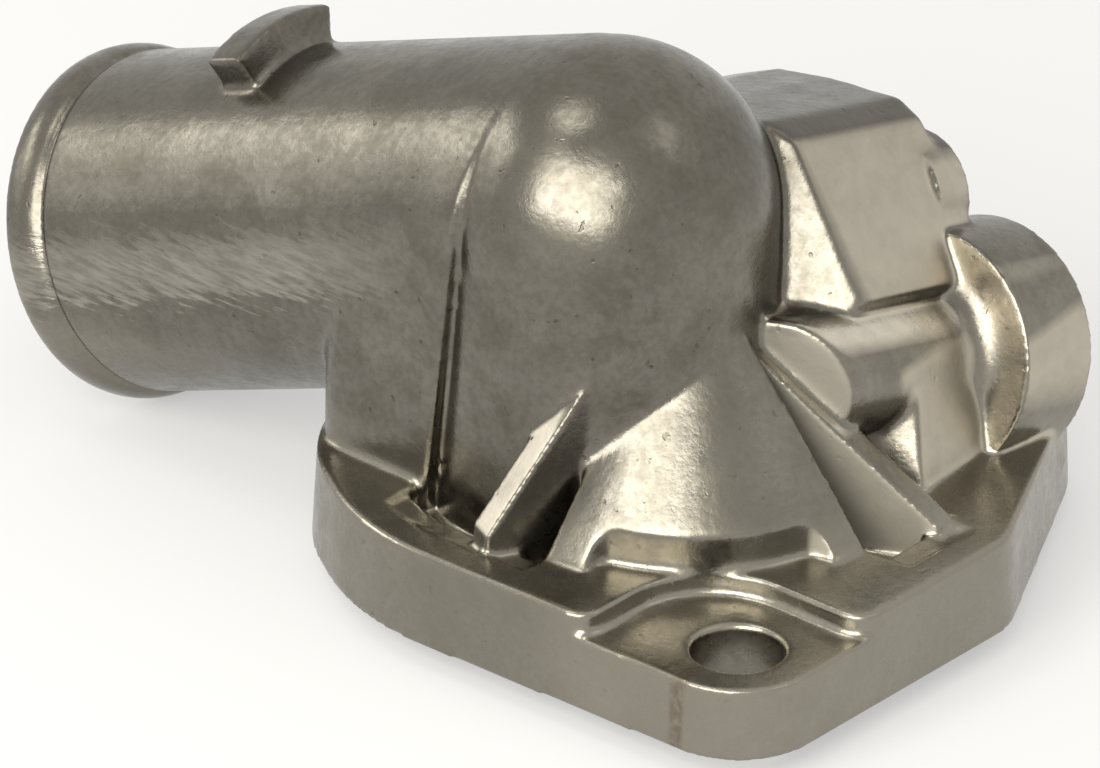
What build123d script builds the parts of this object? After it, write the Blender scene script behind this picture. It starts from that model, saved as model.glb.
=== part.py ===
from build123d import *
from math import cos, radians, sin, tan
import os

# Coolant outlet of a piston engine, one aluminium casting.
# Frame: the mating face is the plane Z = 0, the origin lies on the tower axis,
# the hose neck leaves towards -X and leans down to the mating face.

# flange
flange_t = 9.3
flange_draft = 2.5
rim_r = 26.35
ear_r = 8.3
bolt_a = (30.3, -17.3)
bolt_b = (-22.8, 25.3)
corner_x = 30.75
corner_y = 10.0
corner_r = 7.85
lobe_x = 17.5
lobe_y = 30.4
lobe_r = 10.2
heel = (-5.6, -3.9)
heel_r = 20.0
rim_w = 3.9
edge_r = 0.3

# moat between the rim and the walls: a shallow shelf and a deeper pocket
shelf_w = 3.0
shelf_drop = 0.5
moat_z = 6.2

# bolt lands, the corner of each given from its bolt
land_z = 7.1
land_x = 11.2
land_y = 8.2
land_r = 9.3
land_reach = 24.0
land_flare_r = 2.5
hole_r = 4.25
hole_chamfer = 0.35

# tower and dome
tower_r = 15.65
tower_draft = 1.5
dome_z = 34.8

# hose neck
neck_r = 16.0
neck_tilt = 20.6
neck_z = 34.5
neck_len = 62.2
bead_w = 4.4
bead_crest = 2.2
bead_h = 0.65
lip_h = 0.2

# stop lug over the neck
lug_start = 34.1
lug_t = 4.3
lug_h = 3.6
lug_near_angle = 23.0
lug_far_angle = 17.5

# web under the neck, and the step where neck and web end at the tower
web_end = 22.8
web_lean = 0.6
web_edge_r = 5.0
web_roof_drop = 0.9
web_corner_r = 2.5
web_toe = 4.6
step_x = 5.5
step_knee_z = 33.0
step_foot_x = 8.6

# conical hood over the chamber
hood_x = 9.8
hood_y = 0.5
hood_foot_r = 20.1
hood_slope = 1.26
hood_from = -92.0
hood_to = 3.0
hood_wall_r = 17.1
hood_wall_from = -79.0
hood_wall_to = -9.0
hood_wall_corner_r = 2.0

# ribs: foot of the top edge at the rim, bearing from the tower, width and slope
rib_a_foot = (3.3, -21.6, 11.0)
rib_a_angle = -115.0
rib_a_w = 3.2
rib_a_slope = 1.4
rib_b_foot = (32.2, 10.0, 9.6)
rib_b_angle = 23.0
rib_b_w = 3.4
rib_b_slope = 0.83
rib_back = 21.0

# side port: stem, head and the walls under them
port_tilt = 14.0
stem_x = 18.0
stem_z = 22.3
stem_r = 6.0
stem_from = 9.0
head_r = 11.6
head_from = 25.5
head_to = 35.3
head_root_r = 3.0
skirt_from = 2.0
skirt_lean = 18.0
skirt_front = (26.0, 14.2, 12.6)

# bearing and rise of the front walls of the skirt and of the upper block
front_bearing = -59.2
front_rise = 23.0

# pocket wall between the side port and the tower
cheek_x = 20.5
cheek_z = 17.5

# upper port block behind the tower: its section at a distance from the tower axis
block_section_y = 15.0
block_face_top = (11.0, 39.5)
block_face_foot = (20.0, 26.2)
block_top = ((8.0, 40.7), (-0.1, 39.8), (-6.0, 38.7), (-11.5, 36.2))
block_edge_r = 1.4
block_from = 5.0
block_front = (11.4, 13.3, 39.3)
block_to = 31.9
block_base_z = 4.0

# ledge at the foot of the block's front wall
ledge_near = (15.9, 2.0)
ledge_far = (17.6, 15.2)

# round boss on the block's end
boss_x = 9.8
boss_z = 34.7
boss_r = 6.5
boss_to = 33.5
boss_bore_r = 2.6

# inside
wall = 3.0
seat_r = 19.0
seat_depth = 3.2
chamber_r = 14.2
chamber_z = 9.0
chamber_front = (12.8, -10.0)
chamber_side = (17.0, -2.5)
web_pocket_x = 17.4
web_pocket_y = 12.2
pocket_corner_r = 2.5
rear_pocket_x = (-8.2, 8.0)
rear_pocket_y = (22.2, 28.8)
rear_pocket_z = 22.0
port_bore_r = 7.0
rim_channel_r = 7.8
port_bore_depth = 9.0
stem_bore_r = 3.0
stem_bore_to = 9.0

tilt = radians(neck_tilt)
neck_dir = Vector(-cos(tilt), 0, -sin(tilt))
neck_root = Vector(0, 0, neck_z)
port_dir = Vector(0, cos(radians(port_tilt)), -sin(radians(port_tilt)))
port_fall = tan(radians(port_tilt))
hood_axis = Axis((hood_x, hood_y, 0), (0, 0, 1))
inner_dome_r = tower_r - wall
bead_start = neck_len - bead_w
block_back_x = block_top[-1][0]
stem_base = (stem_x, 0, stem_z)
boss_base = (boss_x, 0, boss_z)


def outline(z, inset):
    """Flange outline at a height: the hull of its round corners, less an inset."""
    with BuildSketch(Plane.XY.offset(z)) as shape:
        Circle(rim_r - inset)
        with Locations(bolt_a, bolt_b):
            Circle(ear_r - inset)
        with Locations((corner_x, corner_y)):
            Circle(corner_r - inset)
        with Locations(heel):
            Circle(heel_r - inset)
        with Locations((lobe_x, lobe_y)):
            Circle(lobe_r - inset)
        make_hull()
    return shape.sketch


def neck_plane(reach):
    """Plane across the neck at a distance from the tower axis, its Y up."""
    return Plane(origin=neck_root + neck_dir * reach, x_dir=(0, -1, 0), z_dir=neck_dir)


def neck_axis_z(x):
    """Height of the neck's axis at a distance x from the tower."""
    return neck_z - x * tan(tilt)


def port_plane(base, reach):
    """Plane across a port axis that starts at base, its Y up."""
    return Plane(origin=Vector(base) + port_dir * reach, x_dir=(-1, 0, 0), z_dir=port_dir)


def upright_plane(x, y, angle):
    """Upright plane through a point, its X pointing out along the angle and its Y up."""
    out = Vector(cos(radians(angle)), sin(radians(angle)), 0)
    return Plane(origin=(x, y, 0), x_dir=out, z_dir=out.cross(Vector(0, 0, 1)))


def cut_front(point):
    """Takes away what stands before the leaning front wall that passes through a point."""
    level = cos(radians(front_rise))
    bearing = radians(front_bearing)
    normal = (level * cos(bearing), level * sin(bearing), sin(radians(front_rise)))
    reach = 4 * neck_r
    with Locations(Plane(origin=point, z_dir=normal)):
        Box(reach, reach, reach, align=(Align.CENTER, Align.CENTER, Align.MIN), mode=Mode.SUBTRACT)


def bearing_line(x, y, angle, reach):
    """Point at a distance from (x, y) along a bearing."""
    return (x + reach * cos(radians(angle)), y + reach * sin(radians(angle)))


with BuildPart() as moat:
    # shelf, and the pocket inside it
    add(outline(flange_t - shelf_drop, rim_w))
    extrude(amount=flange_t)
    add(outline(moat_z, rim_w + shelf_w))
    extrude(amount=flange_t)
    # not round the bolts, before the hood, beyond the long rib or beside the web
    with BuildSketch():
        with Locations(bolt_a, bolt_b):
            Circle(land_r + rim_w)
        reach = 4 * rim_r
        Polygon(
            (hood_x, hood_y),
            bearing_line(hood_x, hood_y, hood_from, reach),
            (reach, -reach),
            bearing_line(hood_x, hood_y, hood_to, reach),
            align=None,
        )
        far = bearing_line(rib_b_foot[0], rib_b_foot[1], rib_b_angle, reach)
        near = bearing_line(rib_b_foot[0], rib_b_foot[1], rib_b_angle, -rib_back)
        Polygon(near, far, (reach, reach), (block_back_x, reach), (block_back_x, 0), align=None)
        Polygon((-step_foot_x, 0), (-step_foot_x, -reach), (-reach, -reach), (-reach, 0), align=None)
    extrude(amount=2 * flange_t, mode=Mode.SUBTRACT)

with BuildPart() as lands:
    # room for the bolt heads, open to the outside
    for (x, y), side in ((bolt_a, 1), (bolt_b, -1)):
        with BuildSketch(Plane(origin=(x, y, land_z), x_dir=(side, 0, 0))) as land:
            with Locations((-land_x, land_y)):
                Rectangle(land_reach, land_reach, align=(Align.MIN, Align.MAX))
            fillet(land.vertices().sort_by_distance((0, 0, land_z))[0], radius=land_r)
        extrude(amount=flange_t)

with BuildPart() as flange:
    add(outline(0, 0))
    add(outline(flange_t, flange_t * tan(radians(flange_draft))))
    loft(ruled=True)
    add(lands.part, mode=Mode.SUBTRACT)
    # the ends of the walls round the lands, where they meet the outside
    for (x, y), side in ((bolt_a, 1), (bolt_b, -1)):
        low_edges = flange.edges().filter_by(lambda e: e.length < flange_t - land_z + edge_r)
        around = (x - side * (land_x - land_r), y + side * (land_y - land_r), land_z)
        fillet(low_edges.sort_by_distance(around)[2:4], radius=land_flare_r)
    top_rim = flange.faces().sort_by(Axis.Z)[-1].outer_wire().edges()
    fillet(top_rim, radius=edge_r)
    add(moat.part, mode=Mode.SUBTRACT)

with BuildPart() as web:
    # wall under the neck, its upright edges rounded
    with BuildSketch(Plane.XZ) as web_side:
        with BuildLine():
            Polyline(
                (0, 0),
                (-(web_end - web_lean), 0),
                (-web_end, neck_axis_z(web_end) - web_roof_drop),
                (-(web_end + web_toe), neck_axis_z(web_end + web_toe) - web_roof_drop),
                (-(web_end + web_toe), neck_axis_z(web_end + web_toe)),
                (0, neck_z),
                close=True,
            )
        make_face()
        inner = web_side.vertices().sort_by_distance((-web_end, 0, neck_axis_z(web_end)))[0]
        fillet(inner, radius=web_corner_r)
    extrude(amount=neck_r, both=True)
    with BuildSketch():
        RectangleRounded(2 * web_end, 2 * neck_r, web_edge_r)
    extrude(amount=2 * neck_z, mode=Mode.INTERSECT)

with BuildPart() as neck:
    with BuildSketch(neck_plane(0)):
        Circle(neck_r)
    extrude(amount=bead_start)
    add(web.part)
    # step where neck and web end at the tower
    with BuildSketch(Plane.XZ):
        with BuildLine():
            Polyline(
                (-step_foot_x, 0),
                (-step_x, step_knee_z),
                (-step_x, neck_z + 2 * neck_r),
                (2 * neck_r, neck_z + 2 * neck_r),
                (2 * neck_r, 0),
                close=True,
            )
        make_face()
    extrude(amount=2 * neck_r, both=True, mode=Mode.SUBTRACT)
    # bead and lip of the hose end
    with BuildSketch(Plane(origin=neck_root, x_dir=neck_dir, z_dir=(0, 1, 0))):
        with BuildLine():
            Line((bead_start - 1, 0), (bead_start - 1, neck_r))
            Line((bead_start - 1, neck_r), (bead_start, neck_r))
            ThreePointArc(
                (bead_start, neck_r),
                (neck_len - bead_crest, neck_r + bead_h),
                (neck_len, neck_r + lip_h),
            )
            Line((neck_len, neck_r + lip_h), (neck_len, 0))
            Line((neck_len, 0), (bead_start - 1, 0))
        make_face()
    revolve(axis=Axis(neck_root, neck_dir))
    # stop lug over the neck
    with BuildSketch(neck_plane(lug_start)):
        Circle(neck_r + lug_h)
        Circle(neck_r - wall / 2, mode=Mode.SUBTRACT)
        with BuildLine():
            reach = 2 * neck_r
            near = radians(lug_near_angle)
            far = radians(lug_far_angle)
            Polyline(
                (0, 0),
                (reach * sin(near), reach * cos(near)),
                (0, 2 * reach),
                (-reach * sin(far), reach * cos(far)),
                close=True,
            )
        make_face(mode=Mode.INTERSECT)
    extrude(amount=lug_t)

with BuildPart() as stem:
    # stem with a round end, and head of the side port
    with BuildSketch(Plane(origin=stem_base, x_dir=port_dir, z_dir=(1, 0, 0))) as stem_side:
        with BuildLine():
            CenterArc((stem_from, 0), stem_r, 90, 90)
            Polyline(
                (stem_from, stem_r),
                (head_from, stem_r),
                (head_from, head_r),
                (head_to, head_r),
                (head_to, 0),
                (stem_from - stem_r, 0),
            )
        make_face()
        fillet(stem_side.vertices().sort_by_distance((head_from, stem_r))[0], radius=head_root_r)
    revolve(axis=Axis(stem_base, port_dir))

with BuildPart() as skirt:
    # leaning wall under stem and head
    skirt_z = stem_z - skirt_from * port_fall
    with BuildSketch(Plane.XZ.offset(-skirt_from)):
        with BuildLine():
            Polyline(
                (block_back_x, skirt_z),
                (stem_x + stem_r, skirt_z),
                (stem_x + stem_r + 2 * skirt_z * tan(radians(skirt_lean)), -skirt_z),
                (block_back_x, -skirt_z),
                close=True,
            )
        make_face()
    extrude(amount=head_to - skirt_from, dir=port_dir)
    cut_front(skirt_front)

with BuildPart() as block:
    # upper port block, its face leaning back
    rise = (block_section_y - block_from) * port_fall
    section = [block_face_foot, block_face_top, *block_top]
    section += [(block_back_x, block_base_z), (stem_x, block_base_z), (stem_x, stem_z)]
    with BuildSketch(Plane.XZ.offset(-block_from)) as block_end:
        with BuildLine():
            Polyline(*[(x, z + rise) for x, z in section], close=True)
        make_face()
        upper = block_end.vertices().filter_by(lambda v: v.Z > block_face_foot[1] + 2 * rise)
        fillet(upper, radius=block_edge_r)
    extrude(amount=(block_to - block_from) / cos(radians(port_tilt)), dir=port_dir)
    cut_front(block_front)

with BuildPart() as port:
    add(skirt.part)
    add(block.part)
    with BuildSketch(port_plane(boss_base, boss_to)):
        Circle(boss_r)
    extrude(amount=block_to - boss_to - wall)
    # ledge at the foot of the block's front wall, and the pocket wall below it
    with BuildSketch(Plane.XY.offset(block_base_z)):
        Polygon((0, 0), ledge_near, ledge_far, (0, ledge_far[1]), align=None)
    extrude(amount=block_face_foot[1] - block_base_z)
    with BuildSketch(Plane.XY.offset(block_base_z)):
        Polygon((0, 0), (cheek_x, 0), (cheek_x, ledge_far[1]), (0, ledge_far[1]), align=None)
    extrude(amount=cheek_z - block_base_z)
    add(stem.part)
    # nothing reaches past the long rib or below the flange
    with BuildSketch():
        reach = 4 * neck_r
        far = bearing_line(rib_b_foot[0], rib_b_foot[1], rib_b_angle, reach)
        near = bearing_line(rib_b_foot[0], rib_b_foot[1], rib_b_angle, -reach)
        Polygon(near, far, (far[0], -reach), (near[0], -reach), align=None)
    extrude(amount=reach, mode=Mode.SUBTRACT)
    with Locations((0, 0, block_base_z)):
        Box(4 * reach, 4 * reach, reach, align=(Align.CENTER, Align.CENTER, Align.MAX), mode=Mode.SUBTRACT)

with BuildPart() as chamber:
    # hollow under the hood, parallel to its slope and open to the tower
    with BuildSketch(upright_plane(hood_x, hood_y, 0)):
        with BuildLine():
            Polyline(
                (0, 0),
                (chamber_r, 0),
                (chamber_r, chamber_z),
                (0, chamber_z + chamber_r * hood_slope),
                close=True,
            )
        make_face()
    revolve(axis=hood_axis)
    with BuildSketch():
        reach = 4 * chamber_r
        Polygon(
            (0, 0),
            chamber_front,
            (chamber_front[0], -reach),
            (reach, -reach),
            (reach, chamber_side[1]),
            chamber_side,
            align=None,
        )
    extrude(amount=reach, mode=Mode.INTERSECT)

with BuildPart() as outlet_casting:
    add(flange.part)
    add(neck.part)
    # tower closed by the dome
    with BuildSketch(Plane.XZ):
        with BuildLine():
            foot_r = tower_r + dome_z * tan(radians(tower_draft))
            Polyline((0, dome_z + tower_r), (0, 0), (foot_r, 0), (tower_r, dome_z))
            CenterArc((0, dome_z), tower_r, 0, 90)
        make_face()
    revolve(axis=Axis.Z)
    # conical hood, a quarter turn about its own axis
    with BuildSketch(upright_plane(hood_x, hood_y, hood_from)):
        with BuildLine():
            foot_r = hood_foot_r + (flange_t - moat_z / 2) / hood_slope
            apex_z = flange_t + hood_foot_r * hood_slope
            Polyline((0, moat_z / 2), (foot_r, moat_z / 2), (0, apex_z), close=True)
        make_face()
    revolve(axis=hood_axis, revolution_arc=hood_to - hood_from)
    with BuildSketch(Plane.XY.offset(flange_t).move(Location((hood_x, hood_y, 0)))) as hood_scoop:
        Circle(2 * hood_wall_r)
        Circle(hood_wall_r, mode=Mode.SUBTRACT)
        with BuildLine():
            reach = 4 * hood_wall_r
            first = radians(hood_wall_from)
            last = radians(hood_wall_to)
            Polyline(
                (0, 0),
                (reach * cos(first), reach * sin(first)),
                (reach, -reach),
                (reach * cos(last), reach * sin(last)),
                close=True,
            )
        make_face(mode=Mode.INTERSECT)
        inner = hood_scoop.vertices().sort_by_distance((0, 0))[:2]
        fillet(inner, radius=hood_wall_corner_r)
    extrude(amount=neck_r, mode=Mode.SUBTRACT)
    # ribs
    for foot, angle, width, slope in (
        (rib_a_foot, rib_a_angle, rib_a_w, rib_a_slope),
        (rib_b_foot, rib_b_angle, rib_b_w, rib_b_slope),
    ):
        with BuildSketch(upright_plane(foot[0], foot[1], angle)):
            with BuildLine():
                back = min(rib_back, (dome_z - foot[2]) / slope)
                Polyline(
                    (0, foot[2]),
                    (0, moat_z / 2),
                    (-back, moat_z / 2),
                    (-back, foot[2] + back * slope),
                    close=True,
                )
            make_face()
        extrude(amount=width / 2, both=True)
    add(port.part)
    # lands for the bolt heads, and their holes
    add(lands.part, mode=Mode.SUBTRACT)
    for x, y in (bolt_a, bolt_b):
        with Locations((x, y, land_z)):
            CounterSinkHole(radius=hole_r, counter_sink_radius=hole_r + hole_chamfer, counter_sink_angle=90)
    # inside of the tower, dome and neck
    with BuildSketch(Plane.XZ):
        with BuildLine():
            Polyline((0, dome_z + inner_dome_r), (0, 0), (inner_dome_r, 0), (inner_dome_r, dome_z))
            CenterArc((0, dome_z), inner_dome_r, 0, 90)
        make_face()
    revolve(axis=Axis.Z, mode=Mode.SUBTRACT)
    with BuildSketch(neck_plane(0)):
        Circle(neck_r - wall)
    extrude(amount=neck_len, mode=Mode.SUBTRACT)
    # round seat in the mating face
    with BuildSketch():
        with Locations((hood_x, hood_y)):
            Circle(seat_r)
    extrude(amount=seat_depth, mode=Mode.SUBTRACT)
    add(chamber.part, mode=Mode.SUBTRACT)
    # pocket under the neck's web
    with BuildSketch(Plane.XZ):
        with BuildLine():
            roof = neck_r / cos(tilt)
            Polyline(
                (0, 0),
                (-web_pocket_x, 0),
                (-web_pocket_x, neck_axis_z(web_pocket_x) - roof),
                (0, neck_axis_z(0) - roof),
                close=True,
            )
        make_face()
    extrude(amount=web_pocket_y, both=True, mode=Mode.SUBTRACT)
    # pocket under the port block
    with BuildSketch():
        with Locations((sum(rear_pocket_x) / 2, sum(rear_pocket_y) / 2)):
            RectangleRounded(
                rear_pocket_x[1] - rear_pocket_x[0],
                rear_pocket_y[1] - rear_pocket_y[0],
                pocket_corner_r,
            )
    extrude(amount=rear_pocket_z, mode=Mode.SUBTRACT)
    # side port: a channel across the rim, the wide mouth and the blind drilling behind it
    with BuildSketch(port_plane(stem_base, head_to)):
        Circle(rim_channel_r)
    extrude(amount=lobe_r, mode=Mode.SUBTRACT)
    with BuildSketch(port_plane(stem_base, head_to)):
        Circle(port_bore_r)
    extrude(amount=-port_bore_depth, mode=Mode.SUBTRACT)
    with BuildSketch(port_plane(stem_base, head_to)):
        Circle(stem_bore_r)
    extrude(amount=stem_bore_to - head_to, mode=Mode.SUBTRACT)
    # upper port, a blind drilling
    with BuildSketch(port_plane(boss_base, boss_to)):
        Circle(boss_bore_r)
    extrude(amount=block_section_y - boss_to, mode=Mode.SUBTRACT)

outlet_casting.part.label = "outlet_casting"
os.makedirs("parts", exist_ok=True)
export_step(outlet_casting.part, "parts/outlet_casting.step")
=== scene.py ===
import math

import bmesh
import bpy
import numpy as np
from mathutils import Matrix, Vector


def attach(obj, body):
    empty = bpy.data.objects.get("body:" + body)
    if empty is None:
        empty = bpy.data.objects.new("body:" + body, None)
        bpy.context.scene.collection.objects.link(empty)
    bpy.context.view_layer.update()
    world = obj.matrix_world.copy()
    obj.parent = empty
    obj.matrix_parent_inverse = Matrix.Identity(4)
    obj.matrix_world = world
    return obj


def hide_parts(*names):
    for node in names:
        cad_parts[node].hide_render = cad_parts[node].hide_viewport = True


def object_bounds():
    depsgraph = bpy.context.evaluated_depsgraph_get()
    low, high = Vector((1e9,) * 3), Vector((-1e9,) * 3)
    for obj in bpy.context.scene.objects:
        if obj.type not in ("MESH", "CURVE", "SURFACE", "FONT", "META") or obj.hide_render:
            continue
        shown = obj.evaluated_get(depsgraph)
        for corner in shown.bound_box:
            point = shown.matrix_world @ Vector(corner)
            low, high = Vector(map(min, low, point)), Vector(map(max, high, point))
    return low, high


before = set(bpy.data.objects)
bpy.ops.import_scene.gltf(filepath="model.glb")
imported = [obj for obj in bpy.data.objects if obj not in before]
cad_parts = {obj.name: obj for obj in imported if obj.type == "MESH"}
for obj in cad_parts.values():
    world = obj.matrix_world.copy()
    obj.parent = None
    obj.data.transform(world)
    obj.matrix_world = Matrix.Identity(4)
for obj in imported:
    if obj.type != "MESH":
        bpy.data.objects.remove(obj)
cad_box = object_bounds()

MM = 0.001
NODE = "outlet_casting"

# Camera, fitted to the photograph

CAM_AZ, CAM_EL, CAM_ROLL = 39.7, 28.4, 1.0  # turn, height and roll in degrees
CAM_DISTANCE = 1600.0  # mm
CAM_CLIP_END = 20  # m
SENSOR = 36.0
PX_PER_MM = 10.86
PHOTO_W, PHOTO_H = 1100, 768
ORIGIN_PX = (602.7, 539.2)  # where the photograph has the frame's origin


def camera_axes():
    """Directions to the camera's right, up and back."""
    az, el, roll = (math.radians(a) for a in (CAM_AZ, CAM_EL, CAM_ROLL))
    right = Vector((math.cos(az), math.sin(az), 0))
    back = Vector((math.sin(az) * math.cos(el), -math.cos(az) * math.cos(el), math.sin(el)))
    up = back.cross(right)
    return (
        right * math.cos(roll) + up * math.sin(roll),
        up * math.cos(roll) - right * math.sin(roll),
        back,
    )


def add_camera():
    right, up, back = camera_axes()
    off_x = (ORIGIN_PX[0] - PHOTO_W / 2) / PX_PER_MM
    off_y = (PHOTO_H / 2 - ORIGIN_PX[1]) / PX_PER_MM
    eye = (back * CAM_DISTANCE - right * off_x - up * off_y) * MM
    data = bpy.data.cameras.new("camera")
    data.sensor_width = SENSOR
    data.lens = SENSOR * CAM_DISTANCE * PX_PER_MM / PHOTO_W
    data.clip_end = CAM_CLIP_END
    cam = bpy.data.objects.new("camera", data)
    rot = Matrix((right, up, back)).transposed().to_4x4()
    cam.matrix_world = Matrix.Translation(eye) @ rot
    bpy.context.scene.collection.objects.link(cam)
    bpy.context.scene.camera = cam


# The casting's skin: the solid with cast edges and fillets

VOXEL = 0.26 * MM
MAX_TRIANGLES = 190000
WELD = 1e-7  # m
EMPTY_AREA = 1e-12  # square metres

# the neck: height of its axis over the origin, tilt and outside radius,
# and how far along it the lug and the bead lie
NECK_Z, NECK_TILT, NECK_R = 34.5, math.radians(20.6), 16.0
LUG_FROM, LUG_TO, BEAD_FROM = 33.0, 39.5, 57.7

# the side port's stem, and the long rib that its end meets
STEM_POINT, STEM_R, STEM_FALL = (18.0, 0, 22.3), 6.0, math.radians(14.0)
STEM_END = 12.0
STEM_SEGMENTS = 64
RIB_POINT, RIB_BEARING = (32.2, 10.0, 0), math.radians(23.0)

# relaxing: a point moves by a share of the way to the middle of its neighbours
EVEN_ROUNDS, EVEN_SHARE = 3, 0.5
PASSES, ROUNDS = 4, 6
CONVEX_SHARE, CONCAVE_SHARE = 0.03, 0.5

# edges that are rounder than the rest: both ends in mm, and the reach of the rounding
SOFT_EDGES = (
    ((11.4, 13.3, 39.3), (18.0, 12.5, 29.7), 4.5),  # block, front edge of its face
    ((11.0, 15.0, 39.5), (11.0, 32.0, 35.2), 3.0),  # block, upper edge of its face
    ((6.0, 15.0, 40.6), (6.0, 32.0, 36.3), 3.0),  # block, edge along its top
    ((26.0, 14.2, 16.5), (28.5, 16.3, 8.6), 2.5),  # skirt, front edge
    ((17.0, 3.6, 27.2), (22.3, 5.8, 25.2), 4.0),  # stem's end, upper part
    ((22.3, 5.8, 25.2), (24.0, 6.6, 20.5), 4.0),  # stem's end, outer part
)
SOFT_EDGE_SHARE = 0.45

# the lug is softer over its whole height, and so is the step where the tower meets the neck
LUG_SHARE, LUG_CLEAR = 0.14, 0.6
STEP_X, STEP_HALF_WIDTH, STEP_FROM_Z = -6.8, 2.6, 11
STEP_CONVEX, STEP_FIRMNESS = 0.12, 0.5

# the neck's end keeps its inner corners, and a fine crease marks where the bead starts
END_FROM, END_FIRMNESS = 52, 0.12
CREASE_WIDTH, CREASE_DEPTH = 0.32, 0.24


def evaluated(obj, name):
    """The object's mesh with its modifiers applied."""
    dep = bpy.context.evaluated_depsgraph_get()
    mesh = bpy.data.meshes.new_from_object(obj.evaluated_get(dep))
    mesh.name = name
    return mesh


def near_soft_edge(co):
    """1 within a third of the reach of a soft edge, falling to 0 at the reach."""
    share = np.zeros(len(co))
    for start, end, reach in SOFT_EDGES:
        a = np.array(start) * MM
        along = np.array(end) * MM - a
        t = np.clip((co - a) @ along / (along @ along), 0, 1)
        gap = np.linalg.norm(co - a - t[:, None] * along, axis=1) / (reach * MM)
        share = np.maximum(share, np.clip(1.5 - 1.5 * gap, 0, 1))
    return share


def along_neck(co):
    """Reach along the neck's axis and distance from it, in mm, and the direction away from it."""
    axis = np.array((-math.cos(NECK_TILT), 0, -math.sin(NECK_TILT)))
    off = co - np.array((0, 0, NECK_Z * MM))
    reach = off @ axis
    away = off - reach[:, None] * axis
    radius = np.linalg.norm(away, axis=1)
    return reach / MM, radius / MM, away / np.maximum(radius, 1e-9)[:, None]


def relax_shares(co):
    """Share of each point where the surface is convex, and where it is concave."""
    reach, radius, _ = along_neck(co)
    on_lug = (reach > LUG_FROM) & (reach < LUG_TO) & (radius > NECK_R + LUG_CLEAR)
    at_step = np.abs(co[:, 0] - STEP_X * MM) < STEP_HALF_WIDTH * MM
    at_step &= (co[:, 1] < 0) & (co[:, 2] > STEP_FROM_Z * MM)
    soft = np.where(on_lug, LUG_SHARE, 0) + np.where(at_step, STEP_CONVEX, 0)
    soft = np.maximum(near_soft_edge(co) * SOFT_EDGE_SHARE, soft)
    firm = np.where(at_step, STEP_FIRMNESS, np.where(reach > END_FROM, END_FIRMNESS, 1.0))
    return CONVEX_SHARE + soft, CONCAVE_SHARE * firm


def vertex_normals(mesh, co):
    mesh.vertices.foreach_set("co", co.ravel())
    mesh.update()
    out = np.empty(len(co) * 3)
    mesh.vertex_normals.foreach_get("vector", out)
    return out.reshape(-1, 3)


def relax(co, edges, normals, rounds, convex, concave):
    """Move points towards their neighbours: by convex if they sink, by concave if they rise."""
    a, b = edges[:, 0], edges[:, 1]
    n = len(co)
    degree = np.bincount(a, minlength=n) + np.bincount(b, minlength=n)
    for _ in range(rounds):
        total = np.empty_like(co)
        for k in range(3):
            total[:, k] = np.bincount(a, co[b, k], n) + np.bincount(b, co[a, k], n)
        step = total / degree[:, None] - co
        rising = np.einsum("ij,ij->i", step, normals) > 0
        co = co + step * np.where(rising, concave, convex)[:, None]
    return co


def bead_crease(co):
    """The points, with those where the bead starts drawn in towards the neck's axis."""
    reach, radius, outward = along_neck(co)
    share = np.exp(-(((reach - BEAD_FROM) / CREASE_WIDTH) ** 2)) * (radius > NECK_R - 1)
    return co - outward * (share * CREASE_DEPTH * MM)[:, None]


def add_stem_end(bm):
    """Carry the side port's stem on to the long rib, where the solid has a round end."""
    along = Vector((0, math.cos(STEM_FALL), -math.sin(STEM_FALL)))
    rot = along.to_track_quat("Z", "Y").to_matrix().to_4x4()
    mid = Vector(STEM_POINT) * MM + along * STEM_END / 2 * MM
    made = bmesh.ops.create_cone(
        bm, cap_ends=True, segments=STEM_SEGMENTS, radius1=STEM_R * MM, radius2=STEM_R * MM,
        depth=STEM_END * MM, matrix=Matrix.Translation(mid) @ rot,
    )
    verts = set(made["verts"])
    parts = list(verts)
    parts += [e for e in bm.edges if e.verts[0] in verts]
    parts += [f for f in bm.faces if f.verts[0] in verts]
    front = Vector((math.sin(RIB_BEARING), -math.cos(RIB_BEARING), 0))
    cut = bmesh.ops.bisect_plane(
        bm, geom=parts, plane_co=Vector(RIB_POINT) * MM, plane_no=front, clear_outer=True,
    )
    rim = [g for g in cut["geom_cut"] if isinstance(g, bmesh.types.BMEdge)]
    bmesh.ops.contextual_create(bm, geom=rim)


def remeshed_solid():
    """Fine even mesh of the solid with the stem's end added."""
    source = bpy.data.objects.new("skin_source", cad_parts[NODE].data.copy())
    bpy.context.scene.collection.objects.link(source)
    bm = bmesh.new()
    bm.from_mesh(source.data)
    bmesh.ops.remove_doubles(bm, verts=bm.verts, dist=WELD)
    add_stem_end(bm)
    bm.to_mesh(source.data)
    bm.free()
    voxel = source.modifiers.new("voxel", "REMESH")
    voxel.mode = "VOXEL"
    voxel.voxel_size = VOXEL
    mesh = evaluated(source, "skin_fine")
    bpy.data.objects.remove(source)
    return mesh


def round_edges(mesh):
    """Give the mesh its cast edges and fillets, and keep it inside the solid's box."""
    co = np.empty(len(mesh.vertices) * 3)
    mesh.vertices.foreach_get("co", co)
    co = co.reshape(-1, 3)
    edges = np.empty(len(mesh.edges) * 2, np.int64)
    mesh.edges.foreach_get("vertices", edges)
    edges = edges.reshape(-1, 2)

    convex, concave = relax_shares(co)
    co = relax(co, edges, vertex_normals(mesh, co), EVEN_ROUNDS, EVEN_SHARE, EVEN_SHARE)
    for _ in range(PASSES):
        co = relax(co, edges, vertex_normals(mesh, co), ROUNDS, convex, concave)
    co = bead_crease(co)
    lo, hi = (np.array(c) for c in cad_box)
    co = np.clip(co, lo, hi)
    mesh.vertices.foreach_set("co", co.ravel())
    mesh.update()


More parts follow.
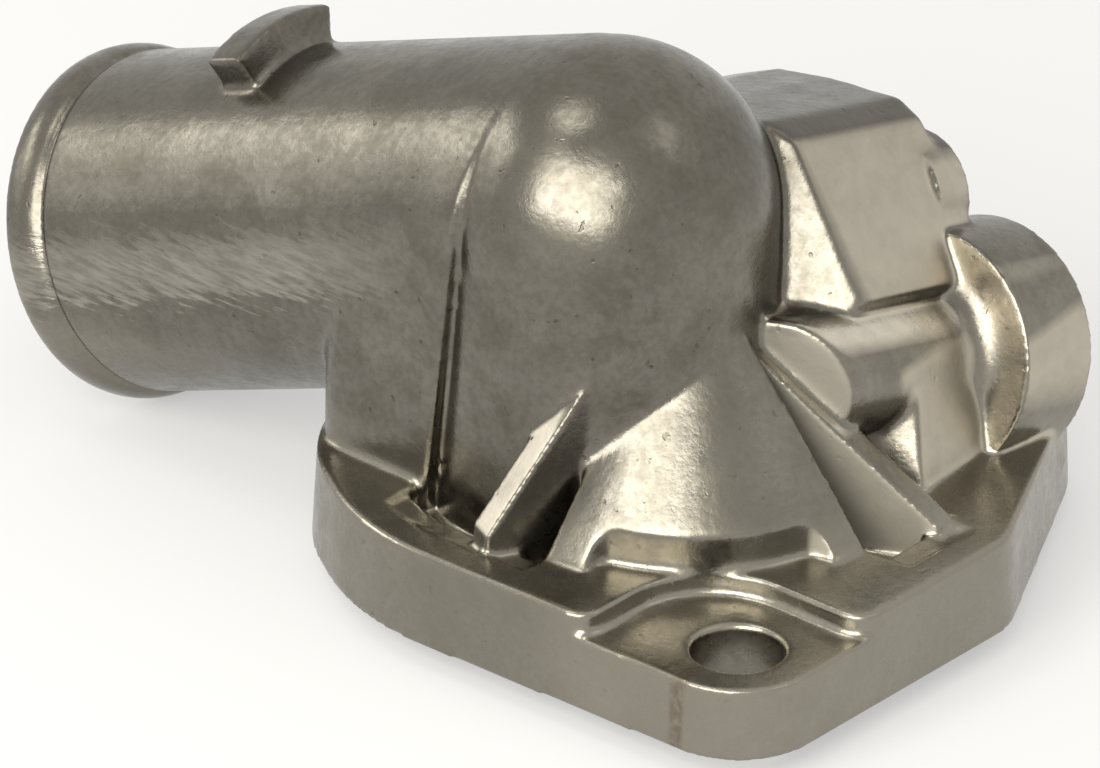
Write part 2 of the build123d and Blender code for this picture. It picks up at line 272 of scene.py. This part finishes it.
def drop_empty_faces(mesh):
    """Delete the faces without area, which are what is left of a tiny bubble in the metal."""
    bm = bmesh.new()
    bm.from_mesh(mesh)
    empty = [f for f in bm.faces if f.calc_area() < EMPTY_AREA]
    bmesh.ops.delete(bm, geom=empty, context="FACES")
    bm.to_mesh(mesh)
    bm.free()


def make_skin():
    mesh = remeshed_solid()
    round_edges(mesh)
    skin = bpy.data.objects.new("casting_skin", mesh)
    bpy.context.scene.collection.objects.link(skin)
    thin = skin.modifiers.new("thin", "DECIMATE")
    thin.ratio = MAX_TRIANGLES / (2 * len(mesh.polygons))
    final = evaluated(skin, "casting_skin")
    drop_empty_faces(final)
    skin.modifiers.clear()
    skin.data = final
    for p in final.polygons:
        p.use_smooth = True
    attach(skin, "root")
    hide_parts(NODE)
    return skin


# Node trees

class Nodes:
    """Makes and links the nodes of one tree."""

    def __init__(self, tree):
        self.tree = tree
        tree.nodes.clear()

    def add(self, kind, values=None, **props):
        """A node with its properties set, and with its inputs set or linked."""
        made = self.tree.nodes.new(kind)
        for key, value in props.items():
            setattr(made, key, value)
        for key, value in (values or {}).items():
            if isinstance(value, bpy.types.NodeSocket):
                self.tree.links.new(value, made.inputs[key])
            else:
                made.inputs[key].default_value = value
        return made

    def maths(self, operation, a, b):
        return self.add("ShaderNodeMath", {0: a, 1: b}, operation=operation).outputs[0]

    def plus(self, a, b):
        return self.maths("ADD", a, b)

    def minus(self, a, b):
        return self.maths("SUBTRACT", a, b)

    def times(self, a, b):
        return self.maths("MULTIPLY", a, b)

    def larger(self, a, b):
        return self.maths("MAXIMUM", a, b)

    def noise(self, coord, scale, detail, rough, distortion=0.0):
        made = self.add("ShaderNodeTexNoise", {
            "Vector": coord, "Scale": scale, "Detail": detail, "Roughness": rough,
            "Distortion": distortion,
        })
        return made.outputs["Fac"]

    def remap(self, value, lo, hi, to_lo=0.0, to_hi=1.0):
        made = self.add("ShaderNodeMapRange", {
            "Value": value, "From Min": lo, "From Max": hi, "To Min": to_lo, "To Max": to_hi,
        })
        return made.outputs["Result"]

    def mix(self, share, colour, other):
        """The first colour, or the second by the share."""
        made = self.add("ShaderNodeMix", {0: share, 6: colour, 7: other}, data_type="RGBA")
        return made.outputs[2]


class SurfaceNodes(Nodes):
    """Nodes of a material that know where a point of the surface lies and where it faces."""

    def __init__(self, tree):
        super().__init__(tree)
        self.coord = self.add("ShaderNodeTexCoord").outputs["Object"]
        self.normal = self.add("ShaderNodeNewGeometry").outputs["Normal"]
        self.xyz = self.add("ShaderNodeSeparateXYZ", {0: self.coord}).outputs

    def box(self, lo, hi, blur):
        """1 inside a box given in mm, falling to 0 over the blur outside it."""
        mask = None
        for k in range(3):
            low = self.remap(self.xyz[k], (lo[k] - blur) * MM, lo[k] * MM)
            high = self.remap(self.xyz[k], hi[k] * MM, (hi[k] + blur) * MM, 1.0, 0.0)
            both = self.times(low, high)
            mask = both if mask is None else self.times(mask, both)
        return mask

    def facing(self, direction, start, full):
        """0 to 1 as the cosine between the surface's normal and the direction grows."""
        dot = self.add(
            "ShaderNodeVectorMath", {0: self.normal, 1: direction}, operation="DOT_PRODUCT",
        )
        return self.remap(dot.outputs["Value"], start, full)


def new_material(name, kind):
    mat = bpy.data.materials.new(name)
    mat.use_nodes = True
    return mat, kind(mat.node_tree)


# The cast aluminium

BASE_LIGHT = (0.203, 0.190, 0.166, 1)
BASE_DARK = (0.146, 0.138, 0.120, 1)
SPECK = (0.115, 0.108, 0.085, 1)
BLOT = (0.085, 0.078, 0.064, 1)
DUST = (0.08, 0.074, 0.058, 1)
PIT = (0.05, 0.045, 0.035, 1)
# painted light: the flange and low parts are made paler in place of light, more where they face up
PAINTED_LOW_LIGHT = (0.36, 0.335, 0.28, 1)
# painted light: the side with the ports is made paler, as if lit from the right
PORT_SIDE_PAINTED_LIGHT = (0.40, 0.37, 0.31, 1)
# painted reflection: the sloped block face and skirt are made paler as if they reflected a bright
# area
PAINTED_LIT_FACE = (0.52, 0.475, 0.395, 1)
# painted highlight along the stem's upper side and the short rib's top
PAINTED_HIGHLIGHT = (0.66, 0.61, 0.52, 1)
# painted light: the deep corner by the long rib is made paler in place of the light it lacks
CORNER_PAINTED_LIGHT = (0.29, 0.27, 0.23, 1)
# painted shade: the block's top and the downward faces are made darker
PAINTED_SHADE = (0.105, 0.100, 0.088, 1)
FILED = (0.42, 0.395, 0.345, 1)
BROWN = (0.13, 0.075, 0.04, 1)


def mottled_base(g, mottled, fine, pits):
    """The colour of the bare casting with its specks, blots, dust and pits."""
    broad = g.noise(g.coord, 48, 3, 0.5, 0.4)
    base = g.mix(g.remap(broad, 0.35, 0.65), BASE_LIGHT, BASE_DARK)
    base = g.mix(g.times(g.remap(mottled, 0.42, 0.68), 0.5), base, SPECK)
    blots = g.noise(g.coord, 150, 4, 0.6, 0.6)
    base = g.mix(g.times(g.remap(blots, 0.50, 0.66), 0.32), base, BLOT)
    base = g.mix(g.times(g.remap(fine, 0.42, 0.62), 0.28), base, DUST)
    return g.mix(g.times(pits, 0.55), base, PIT)


def low_painted_light(g, up):
    """Share of the flange and of what lies low, more where it faces up; painted lighter there,
    standing in for light.
    """
    low = g.remap(g.xyz[2], 9 * MM, 14 * MM, 1.0, 0.0)
    return g.times(low, g.plus(g.times(up, 0.3), 0.42))


def port_side_painted_light(g, up):
    """Share of the side with the ports, but for what faces up; painted lighter there, as if lit
    from the right.
    """
    return g.times(g.remap(g.xyz[0], 12 * MM, 20 * MM), g.minus(1.0, up))


def rough_painted_lit_faces(g, mottled):
    """Share of the sloped faces of the port block and the skirt, which are rougher and carry a
    painted reflection of a bright area at the back right.
    """
    block = g.box((9, 14, 24), (24, 40, 40.2), 1.5)
    block = g.times(block, g.facing((0.83, 0.0, 0.56), 0.86, 0.97))
    skirt = g.box((22, 14, 5), (32, 36, 20), 1.0)
    skirt = g.times(skirt, g.facing((0.95, 0.0, 0.31), 0.86, 0.97))
    return g.times(g.larger(block, skirt), g.remap(mottled, 0.3, 0.7, 0.94, 0.74))


def painted_highlights(g, mottled):
    """Share of the stem's upper side and the top of the short rib, where a highlight is painted."""
    stem = g.box((11, 3, 18), (24, 26, 30), 1.0)
    stem = g.times(stem, g.facing((0.47, 0.214, 0.857), 0.90, 0.985))
    rib = g.box((-8, -26, 9), (7, -12, 30), 0.5)
    rib = g.times(rib, g.facing((-0.344, -0.738, 0.581), 0.93, 0.985))
    return g.times(g.larger(stem, g.times(rib, 0.7)), g.remap(mottled, 0.3, 0.55, 0.65, 1.0))


def deep_corner(g):
    """Share of the long rib's front face and the stem's end, which stand in a deep corner and are
    painted lighter there, in place of light.
    """
    return g.times(g.box((12, -4, 6), (34, 12, 26), 1.0), g.facing((0.39, -0.92, 0.0), 0.85, 0.97))


def painted_shade_places(g, up):
    """Share of the block's top and of what faces down and forward, like the neck's underside, where
    shade is painted.
    """
    under = g.times(g.facing((0.3, -0.35, -0.89), 0.75, 0.98), 0.7)
    block_top = g.times(g.box((-4, 13, 33), (20, 42, 43), 1.0), g.times(up, 0.6))
    return g.larger(under, block_top)


def filed_band(g):
    """Share of the filed band along the neck's parting line, and the slanting scratches in it."""
    x, y, z = g.xyz
    turned = g.add("ShaderNodeMapping", {
        "Vector": g.coord, "Rotation": (0, math.radians(58), 0), "Scale": (1, 1, 7),
    })
    scratch = g.noise(turned.outputs["Vector"], 300, 3, 0.6)
    over = g.minus(g.minus(z, NECK_Z * MM), g.times(x, math.tan(NECK_TILT)))
    over = g.plus(over, g.times(g.minus(scratch, 0.5), 9 * MM))
    band = g.times(g.remap(over, -2.8 * MM, -1.6 * MM), g.remap(over, 2.8 * MM, 4.4 * MM, 1.0, 0.0))
    band = g.times(band, g.remap(y, -11 * MM, -12 * MM))
    band = g.times(band, g.remap(x, -24 * MM, -10 * MM, 1.0, 0.0))
    return band, scratch


def brown_run(g, fine):
    """Share of the brown run below the front bolt."""
    return g.times(g.box((29.4, -28, 0), (30.4, -22, 8.4), 0.5), g.remap(fine, 0.35, 0.6, 0.1, 0.5))


def cast_aluminium():
    mat, g = new_material("cast_aluminium", SurfaceNodes)
    mottled = g.noise(g.coord, 300, 5, 0.6, 0.3)
    fine = g.noise(g.coord, 1300, 4, 0.6)
    grain = g.noise(g.coord, 3600, 2, 0.5)
    pits = g.remap(g.noise(g.coord, 900, 2, 0.4), 0.71, 0.76)
    up = g.facing((0.0, 0.0, 1.0), 0.5, 0.9)
    rough_lit_share = rough_painted_lit_faces(g, mottled)
    corner = deep_corner(g)
    band, scratch = filed_band(g)

    base = mottled_base(g, mottled, fine, pits)
    for share, colour in (
        # painted light on the flange and low parts
        (g.times(low_painted_light(g, up), 0.85), PAINTED_LOW_LIGHT),
        # painted light on the side with the ports
        (g.times(port_side_painted_light(g, up), 0.28), PORT_SIDE_PAINTED_LIGHT),
        # painted reflection on the sloped block face and skirt
        (rough_lit_share, PAINTED_LIT_FACE),
        # painted highlight on the stem and the short rib
        (painted_highlights(g, mottled), PAINTED_HIGHLIGHT),
        # painted light in the deep corner
        (g.times(corner, 0.85), CORNER_PAINTED_LIGHT),
        # painted shade on the block's top and the neck's underside
        (painted_shade_places(g, up), PAINTED_SHADE),
        (g.times(band, g.remap(scratch, 0.40, 0.66, 0.22, 0.62)), FILED),
        (brown_run(g, fine), BROWN),
    ):
        base = g.mix(share, base, colour)

    rough = g.plus(g.remap(mottled, 0.3, 0.7, 0.19, 0.33), g.remap(fine, 0.3, 0.7, -0.03, 0.04))
    rough = g.plus(rough, g.times(rough_lit_share, 0.15))
    rough = g.plus(rough, g.times(corner, 0.2))
    metallic = g.minus(1.0, g.times(corner, 0.6))

    height = g.plus(mottled, g.times(fine, 0.5))
    height = g.plus(height, g.times(grain, 0.12))
    height = g.minus(height, g.times(pits, 0.4))
    height = g.plus(height, g.times(band, scratch))
    bump = g.add("ShaderNodeBump", {"Height": height, "Strength": 0.42, "Distance": 0.12 * MM})

    shader = g.add("ShaderNodeBsdfPrincipled", {
        "Base Color": base, "Metallic": metallic, "Roughness": rough,
        "Normal": bump.outputs["Normal"],
    })
    g.add("ShaderNodeOutputMaterial", {"Surface": shader.outputs[0]})
    return mat


# Floor, world and lamps

FLOOR_SIZE = 6  # m
FLOOR_GREY = (0.34, 0.34, 0.34, 1)
FLOOR_GLOW = 0.44  # what the camera and reflections see on top of the grey
WHITE = (1, 1, 1, 1)
WORLD_TINT = (1.0, 0.985, 0.94, 1)
WORLD_STRENGTH = 0.92

LAMP_DISTANCE = 0.7  # m
AIM_Z = 34.8  # mm, height of the point that the lamps face
WARM = (1.0, 0.97, 0.885)
PINKISH = (1.0, 0.93, 0.88)

# name, azimuth, elevation, turn, width and height as shares of the distance, radiance, colour
LAMPS = (
    ("key", -78, 31, -6, 1.0, 0.70, 6.5, WARM),
    ("top", -145, 68, 0, 0.30, 0.32, 4.0, WARM),
    ("left", -160, 25.5, 0, 0.52, 0.17, 3.8, WARM),
    ("left_low", -157, 11, 0, 0.6, 0.34, 0.9, WARM),
    ("right", 30, 53, 0, 0.35, 0.5, 0.7, PINKISH),
)


def add_floor():
    bpy.ops.mesh.primitive_plane_add(size=FLOOR_SIZE, location=(0, 0, cad_box[0][2]))
    floor = bpy.context.object
    floor.name = "floor"
    mat, g = new_material("floor_white", Nodes)
    diffuse = g.add("ShaderNodeBsdfDiffuse", {"Color": FLOOR_GREY})
    rays = g.add("ShaderNodeLightPath").outputs
    seen = g.larger(rays["Is Camera Ray"], rays["Is Glossy Ray"])
    seen = g.larger(seen, rays["Is Transmission Ray"])
    glow = g.add("ShaderNodeEmission", {"Color": WHITE, "Strength": g.times(seen, FLOOR_GLOW)})
    both = g.add("ShaderNodeAddShader", {0: diffuse.outputs[0], 1: glow.outputs[0]})
    g.add("ShaderNodeOutputMaterial", {"Surface": both.outputs[0]})
    floor.data.materials.append(mat)


def add_world():
    world = bpy.data.worlds.new("studio")
    bpy.context.scene.world = world
    world.use_nodes = True
    g = Nodes(world.node_tree)
    light = g.add("ShaderNodeBackground", {"Color": WORLD_TINT, "Strength": WORLD_STRENGTH})
    white = g.add("ShaderNodeBackground", {"Color": WHITE, "Strength": 1.0})
    seen = g.add("ShaderNodeLightPath").outputs["Is Camera Ray"]
    pick = g.add("ShaderNodeMixShader", {0: seen, 1: light.outputs[0], 2: white.outputs[0]})
    g.add("ShaderNodeOutputWorld", {"Surface": pick.outputs[0]})


def add_lamp(name, az, el, turn, width, height, radiance, colour):
    """Rectangular soft lamp that faces the object. Its power follows from its area."""
    a, e = math.radians(az), math.radians(el)
    out = Vector((math.cos(a) * math.cos(e), math.sin(a) * math.cos(e), math.sin(e)))
    data = bpy.data.lights.new(name, "AREA")
    data.shape = "RECTANGLE"
    data.size = width * LAMP_DISTANCE
    data.size_y = height * LAMP_DISTANCE
    data.energy = radiance * math.pi * data.size * data.size_y
    data.color = colour
    lamp = bpy.data.objects.new(name, data)
    right = Vector((0, 0, 1)).cross(out).normalized()
    up = out.cross(right)
    rot = Matrix((right, up, out)).transposed().to_4x4()
    rot = rot @ Matrix.Rotation(math.radians(turn), 4, "Z")
    aim = Vector((0, 0, AIM_Z * MM))
    lamp.matrix_world = Matrix.Translation(aim + out * LAMP_DISTANCE) @ rot
    bpy.context.scene.collection.objects.link(lamp)


add_camera()
skin = make_skin()
skin.data.materials.clear()
skin.data.materials.append(cast_aluminium())
add_floor()
add_world()
for lamp in LAMPS:
    add_lamp(*lamp)

bpy.context.scene.view_settings.view_transform = "Standard"
